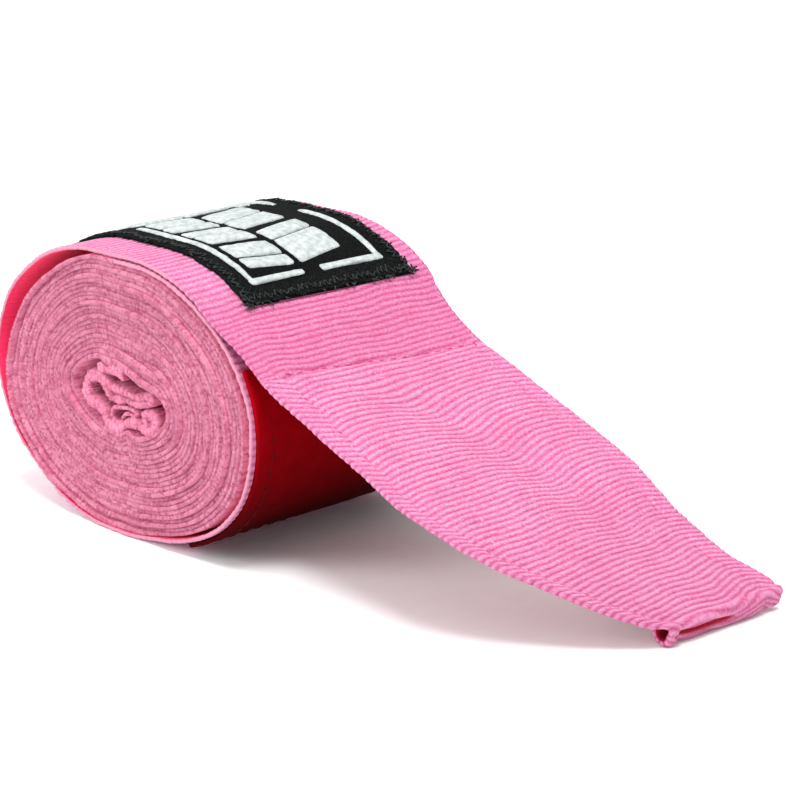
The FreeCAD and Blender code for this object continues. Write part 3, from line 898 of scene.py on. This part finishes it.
def tapeSpan():
    rightStart = coilEnd + outerFlat + (outerRadius + spread) * math.radians(45)
    start = rightStart + outerRadius * math.radians(tail["leaveSlope"] + tapes["loopTurn"] - 45)
    bottomRadius = outerRadius + spread + outerPitch / 2 + halfThick
    lift = tapes["loopThick"] + tapes["loopClear"]
    short = math.degrees(math.acos((bottomRadius - lift) / (bottomRadius + tapes["loopThick"])))
    bottomStart = rightStart + outerRadius * math.radians(90)
    return start, bottomStart + (bottomRadius - halfThick) * math.radians(45 - short)


loopStart, loopEnd = tapeSpan()


# a flat tape on the cloth, between two heights over its middle line
def tapePiece(name, start, end, step, ring, nearFar, heights, material, rough, paintedShadow=0.0):
    def place(share, across, outward, side):
        s = start + (end - start) * share
        near, far = nearFar(s)
        y = near + 0.3 + (far - near - 0.6) * across + outward * 0.3
        low, high = heights(s, y)
        middle, half = (low + high) / 2, (high - low) / 2
        grain = rough * lumps(s / 0.7, y / 0.7, 71)
        offset = middle + side * (half + grain)
        offset = offset + 0.12 * ripples(s / 8, y / 9, 73)
        x, z = stand(s, y, offset)
        # low grows down the tape towards the floor, for the painted shadow
        return (x, y, z), {"low": paintedShadow * smooth(share / 0.8)}

    steps = round((end - start) / step)
    return newObject(name, clothMesh(name, steps, ring, place, (end - start, 2 * 45)), material)


def loopSides(s):
    return s * 0 - halfWidth + tapes["loopNearInset"], s * 0 + halfWidth - tapes["loopInset"]


def loopHeights(s, y):
    return s * 0 + halfThick + 0.05, s * 0 + halfThick + tapes["loopThick"]


def hookSides(s):
    return nearEdge(s) + tapes["hookInset"] - 0.6, farEdge(s) - tapes["hookInset"] + 1.0


def hookHeights(s, y):
    under = sway(s, y) * smooth((flatEnd + 1.5 - s) / 3)
    return under - halfThick - tapes["hookThick"], under - halfThick - 0.02


tapeRing = sectionRing(50, 3, 14)
# the loop tape is given its painted shadow, darker towards its lower end
loopPiece = tapePiece(
    "loopTapePatch", loopStart, loopEnd, 0.5, tapeRing, loopSides, loopHeights, loopTape, 0.03, paintedShadow=0.9)
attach(loopPiece, "roll")
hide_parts("loop_tape")
hookRing = sectionRing(16, 3, 60)
hookSpans = [
    ("hookTapeStart", curlAt + tapes["hookStart"], splits[1], "tail_curl", "hook_tape_first"),
    ("hookTapePanel", splits[1], splits[2], "tail_wrap", "hook_tape_second"),
    ("hookTapeTaper", splits[2], splits[3], "tip_bend", "hook_tape_tip"),
]
hookPieces = []
for name, start, end, joint, node in hookSpans:
    piece = tapePiece(name, start, end, 0.5, hookRing, hookSides, hookHeights, hookTape, 0.1)
    foldWith(piece)
    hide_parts(node)
    hookPieces.append(piece)
hookStop = flatEnd - tapes["hookEnd"]
hookTip = tapePiece("hookTapeTip", splits[3], hookStop, 0.5, hookRing, hookSides, hookHeights, hookTape, 0.1)
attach(hookTip, "tail_tip")
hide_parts("hook_tape_tip")
print("tapes made")


# seams: each stitch dives in and out of the cloth
seam = {"stitch": 1.75, "gap": 0.75, "radius": 0.13, "proud": 0.02, "crossRadius": 0.14}


def onCloth(s, y, lift):
    s, y = np.array([float(s)]), np.array([float(y)])
    x, z = stand(s, y, clothTop(s, y)[0] + sway(s, y) + lift)
    return (x[0], y[0], z[0])


def stitchRow(start, end, place, sink=-0.3):
    lines = []
    at = start
    while at + seam["stitch"] < end:
        stops = [at, at + 0.25, at + seam["stitch"] - 0.25, at + seam["stitch"]]
        lifts = [sink, seam["proud"], seam["proud"], sink]
        lines.append([onCloth(*place(stop), lift) for stop, lift in zip(stops, lifts)])
        at += seam["stitch"] + seam["gap"]
    return lines


def sideRow(start, end, line):
    return stitchRow(start, end, lambda at: (at, float(line(at))))


def bothSides(start, end):
    return sideRow(start, end, nearSeam) + sideRow(start, end, farSeam)


crossNear, crossFar = float(nearSeam(curlAt)), float(farSeam(curlAt))
crossLines = stitchRow(crossNear, crossFar, lambda y: (float(crossSeam(y)), y))
crossStitches = threadPiece("crossStitches", crossLines, seam["crossRadius"], seamThread)
foldWith(crossStitches)
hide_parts("hook_seam_cross")
seamSpans = [
    ("seamStart", curlAt + 2.6, splits[1], "tail_curl", "hook_seam_first"),
    ("seamPanel", splits[1], splits[2], "tail_wrap", "hook_seam_second"),
    ("seamTaper", splits[2], splits[3], "tip_bend", "hook_seam_tip"),
]
for name, start, end, joint, node in seamSpans:
    piece = threadPiece(name, bothSides(start + 0.3, end - 0.2), seam["radius"], seamThread)
    foldWith(piece)
    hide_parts(node)
seamTip = threadPiece("seamTip", bothSides(splits[3] + 0.3, flatEnd - 1.0), seam["radius"], seamThread)
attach(seamTip, "tail_tip")
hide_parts("hook_seam_tip")


def loopSeamLines():
    lines = []
    lift = halfThick + tapes["loopThick"] - 0.02

    def place(s, y, extra):
        x, z = stand(np.array([float(s)]), np.array([y]), lift + extra)
        return (x[0], y, z[0])

    stitch = ((0, -0.25), (0.3, 0), (1.9, 0), (2.2, -0.25))  # distance along, height over the nap
    inset = tapes["loopInset"] + 1.7
    for y in (-halfWidth + inset, halfWidth - inset):
        at = loopStart + 1.6
        while at + 2.4 < loopEnd - 2:
            lines.append([place(at + along, y, dip) for along, dip in stitch])
            at += 3.0
    y = -halfWidth + inset
    while y + 2.4 < halfWidth - inset:
        for s in (loopStart + 1.6, loopEnd - 3.0):
            lines.append([place(s, y + along, dip) for along, dip in stitch])
        y += 3.0
    return lines


loopThread = threadMaterial("loopThread", dyed(80, 0, 6), dyed(120, 4, 20))
loopStitches = threadPiece("loopTapeStitches", loopSeamLines(), 0.1, loopThread)
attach(loopStitches, "roll")
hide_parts("loop_tape_seam")
print("seams made")

# the label
label = {
    "length": 76.0, "nearInset": 8.2, "farInset": 3.0, "thickness": 0.6, "border": 4.0, "end": 0.4,
    "farTaper": 1.6, "frontSkew": 0.9,
    "line": 1.35, "gapStart": 0.40, "gapEnd": 0.53, "print": 0.45,
    "nearRow": 9.6, "middleRow": 11.2, "rowGap": 1.3, "nearCount": 6, "middleCount": 4, "farCount": 5,
}
labelEnd = leave - label["end"]
labelStart = labelEnd - label["length"]
labelNear = -halfWidth + label["nearInset"]
labelFar = halfWidth - label["farInset"]


def labelLift(s, y):
    corner = hump(s - labelEnd, 4.0) * (hump(y - labelNear, 4.0) + hump(y - labelFar, 4.0))
    return 0.12 + 0.1 * ripples(s / 7, y / 7, 81) + 0.1 * corner


def labelBorder(s, y):
    inside = np.minimum(np.minimum(s - labelStart, labelEnd - s), np.minimum(y - labelNear, labelFar - y))
    return 1 - smooth((inside - label["border"] + 1.2) / 0.8)


# the label's far side comes in a little and its front end runs on towards its far corner
def labelFarAt(s):
    return labelFar - label["farTaper"] * smooth((s - labelEnd + 30) / 30)


def labelSkew(s, y, share):
    return s + label["frontSkew"] * smooth((y + 14) / 34) * smooth((share - 0.7) / 0.3)


def labelPlace(share, across, outward, side):
    s = labelStart + label["length"] * share
    wander = 0.25 * lumps(s / 1.1, across * 2, 83)
    near, far = labelNear + wander, labelFarAt(s) + 0.25 * lumps(s / 1.1, across * 2 + 9, 85)
    y = near + 0.3 + (far - near - 0.6) * across + outward * 0.3
    endWander = 0.35 * lumps(y / 1.2, y * 0, 87)
    s = s + endWander * (smooth((share - 0.98) / 0.02) - smooth((0.02 - share) / 0.02))
    s = labelSkew(s, y, share)
    border = labelBorder(s, y)
    thick = label["thickness"] / 2
    weave = 0.05 * lumps(s / 0.6, y / 0.6, 89) * (1 - border)
    rough = 0.13 * lumps(s / 0.55, y / 0.55, 91) * border
    offset = halfThick + thick + labelLift(s, y) + side * thick + (weave + rough) * (side > 0)
    x, z = offLine(*walk(wound, s), offset)
    return (x, y, z), {"border": border}


labelRing = sectionRing(92, 3, 20)
labelMesh = clothMesh("labelCloth", 270, labelRing, labelPlace, (label["length"], 80))
labelPiece = newObject("labelCloth", labelMesh, labelSatin)
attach(labelPiece, "roll")
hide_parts("label")


def onLabel(s, y, lift):
    s, y = np.atleast_1d(np.asarray(s, float)), np.atleast_1d(np.asarray(y, float))
    y = labelNear + (y - labelNear) * (labelFarAt(s) - labelNear) / (labelFar - labelNear)
    s = labelSkew(s, y, (s - labelStart) / label["length"])
    offset = halfThick + label["thickness"] + labelLift(s, y) + lift
    x, z = offLine(*walk(wound, s), offset)
    return x, y, z


# the overlocked edge: one thread that zigzags over the border, with loose ends at the corners
overlock = {"pitch": 0.62, "reach": 3.0, "radius": 0.15, "outside": 0.1, "jitter": 0.22}


def overlockLines():
    dice = np.random.default_rng(7)
    corners = [(labelStart, labelNear), (labelEnd, labelNear), (labelEnd, labelFar), (labelStart, labelFar)]
    inward = [(0, 1), (-1, 0), (0, -1), (1, 0)]
    lines = []
    for k in range(4):
        a, b = np.array(corners[k]), np.array(corners[(k + 1) % 4])
        length = float(np.hypot(*(b - a)))
        count = int(length / overlock["pitch"])
        line = []
        for step in range(count + 1):
            base = a + (b - a) * step / count
            depth = -overlock["outside"] if step % 2 else overlock["reach"] * dice.uniform(0.55, 1.0)
            s, y = base + np.array(inward[k]) * depth + dice.normal(0, overlock["jitter"], 2)
            x, yy, z = onLabel(s, y, 0.1 + dice.uniform(-0.05, 0.18))
            line.append((x[0], yy[0], z[0]))
        lines.append(line)
    for k in range(110):  # loose fibres on the four edges, most at the corners
        edge = dice.integers(0, 4)
        a, b = np.array(corners[edge]), np.array(corners[(edge + 1) % 4])
        share = dice.beta(0.35, 0.35)
        base = a + (b - a) * share
        outwards = -np.array(inward[edge]) * dice.uniform(0.2, 0.9) + dice.normal(0, 0.4, 2)
        tip = base + outwards
        points = []
        for part, lift in ((0, 0), (0.5, 0.25), (1, dice.uniform(-0.4, 0.5))):
            s, y = base + (tip - base) * part
            x, yy, z = onLabel(s, y, lift)
            points.append((x[0], yy[0], z[0]))
        lines.append(points)
    return lines


overlockPiece = threadPiece("labelOverlock", overlockLines(), overlock["radius"], overlockThread)
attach(overlockPiece, "roll")
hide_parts("label_seam")


# a raised bar of print from s0 to s1 and y0 to y1, leaning by slant
def printBar(s0, s1, y0, y1, seed, slant=0.0):
    ring = sectionRing(9, 3, 3)

    def place(share, across, outward, side):
        s = s0 + (s1 - s0) * share
        puff = 1 - np.abs(2 * share - 1) ** 14
        rounded = 0.32 * (1 - np.abs(2 * share - 1) ** 6)
        y = y0 + 0.35 + (y1 - y0 - 0.7) * across + outward * (0.03 + rounded)
        y = y + 0.12 * lumps(s / 0.9, across + seed, 95) * np.abs(2 * across - 1)
        lean = slant * ((y - y0) / (y1 - y0) - 0.5)
        s = s + lean + 0.12 * lumps(y / 0.9, share * 2 + seed, 97) * np.abs(2 * share - 1)
        height = label["print"] * (0.35 + 0.65 * puff) * (1 + 0.12 * lumps(s / 1.5, y / 1.5, 99))
        crown = 1 - 0.22 * np.abs(2 * across - 1) ** 4
        lift = np.where(side > 0, side * height * crown, -0.3)
        x, yy, z = onLabel(s, y, lift)
        return (x, yy, z), {}

    steps = max(6, int(abs(s1 - s0) / 0.45))
    return clothMesh("bar", steps, ring, place, (abs(s1 - s0), 2 * (y1 - y0)))


def frameBars():
    start, end = labelStart + label["border"], labelEnd - label["border"]
    near, far = labelNear + label["border"], labelFar - label["border"]
    width = label["line"]
    middle = (start + end) / 2 - 2
    bars = [(start, middle - 4, near, near + width), (middle + 3, end, near, near + width)]
    bars += [(start, middle + 6, far - width, far), (middle + 13, end, far - width, far)]
    gapLow = near + (far - near) * label["gapStart"]
    gapHigh = near + (far - near) * label["gapEnd"]
    for low, high in ((end - width, end), (start, start + width)):
        bars += [(low, high, near, gapLow), (low, high, gapHigh, far)]
    return [printBar(*bar, seed=k) for k, bar in enumerate(bars)]


# plain slanted blocks, each split by a narrow leaning gap
def rowBars(near, depth, count, share, seed, slant, split):
    inset = label["border"] + label["line"] + label["rowGap"]
    start, end = labelStart + inset, labelEnd - inset
    step = (end - start) * share / count
    bars = []
    for k in range(count):
        first = start + k * step + step * 0.09
        last = first + step * 0.82
        cut = first + (last - first) * split[k % len(split)]
        bars.append(printBar(first, cut - 0.25, near, near + depth, seed + k, slant))
        bars.append(printBar(cut + 0.25, last, near, near + depth, seed + k + 40, slant))
    return bars


rowNear = labelNear + label["border"] + label["line"] + label["rowGap"]
rowMiddle = rowNear + label["nearRow"] + label["rowGap"]
rowFar = rowMiddle + label["middleRow"] + label["rowGap"]
rowFarDepth = labelFar - label["border"] - label["line"] - label["rowGap"] - rowFar
nearBars = rowBars(rowNear, label["nearRow"], label["nearCount"], 1.0, 11, 1.6, (0.56, 0.4, 0.62))
middleBars = rowBars(rowMiddle, label["middleRow"], label["middleCount"], 1.0, 23, -2.2, (0.38, 0.6, 0.5))
farBars = rowBars(rowFar, rowFarDepth, label["farCount"], 0.5, 37, 0.5, (0.5, 0.35))
printed = [
    ("printFrame", frameBars(), "label_frame_marks"),
    ("printNearRow", nearBars, "label_near_marks"),
    ("printMiddleRow", middleBars, "label_middle_marks"),
    ("printFarRow", farBars, "label_far_marks"),
]
for name, bars, node in printed:
    piece = newObject(name, joinMeshes(name, bars), puffPrint)
    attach(piece, "roll")
    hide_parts(node)
print("label made")


def clothSides(s):
    return nearEdge(s), farEdge(s)


# the flat area each tail and hook tape sheet was cut to, worked out between its edges
for piece, (name, start, end, joint, node) in zip(tailPieces, tailSpans):
    flatArea = areaBetween(clothSides, start, end)
tipArea = areaBetween(clothSides, splits[3], stripEnd)
hookUnder = ("tailBend", "tailPanel", "tailTaper")
for piece, (name, start, end, joint, node), under in zip(hookPieces, hookSpans, hookUnder):
    areaBetween(hookSides, start, end)
hookTipArea = areaBetween(hookSides, splits[3], hookStop)


# floor and lights
studio = {"floorSize": 4.0, "key": 7.0, "fill": 8.0, "world": 0.9}


def makeFloor():
    bm = bmesh.new()
    bmesh.ops.create_grid(bm, x_segments=4, y_segments=4, size=studio["floorSize"])
    mesh = bpy.data.meshes.new("floor")
    bm.to_mesh(mesh)
    bm.free()
    n = Nodes("floorPaper")
    grain = n.noise(n.scaled(n.coords("Object"), (300, 300, 300)), 1.0, 3.0)
    pale = n.mix(n.spread(grain, 0.3, 0.7), (0.93, 0.93, 0.93, 1), (0.96, 0.96, 0.96, 1))
    paper = n.finish(pale, grain, 0.05, 0.0002, 0.9)
    floor = newObject("floor", mesh, paper)
    floor.location.z = -0.0002


def areaLight(name, place, target, size, power, colour):
    data = bpy.data.lights.new(name, "AREA")
    data.shape, data.size, data.energy, data.color = "DISK", size, power, colour
    light = bpy.data.objects.new(name, data)
    scene.collection.objects.link(light)
    light.location = place
    light.rotation_euler = (Vector(target) - Vector(place)).to_track_quat("-Z", "Y").to_euler()


makeFloor()
areaLight("keyLight", (0.25, -0.15, 0.75), (0.03, 0, 0.02), 0.35, studio["key"], (1, 1, 1))
areaLight("fillLight", (-0.5, -0.9, 0.45), (0, 0, 0.02), 0.6, studio["fill"], (1, 1, 1))
world = bpy.data.worlds.new("studioAir")
world.use_nodes = True
world.node_tree.nodes["Background"].inputs[0].default_value = (1, 1, 1, 1)
world.node_tree.nodes["Background"].inputs[1].default_value = studio["world"]
scene.world = world
scene.view_settings.view_transform = "Standard"
print("studio lit")
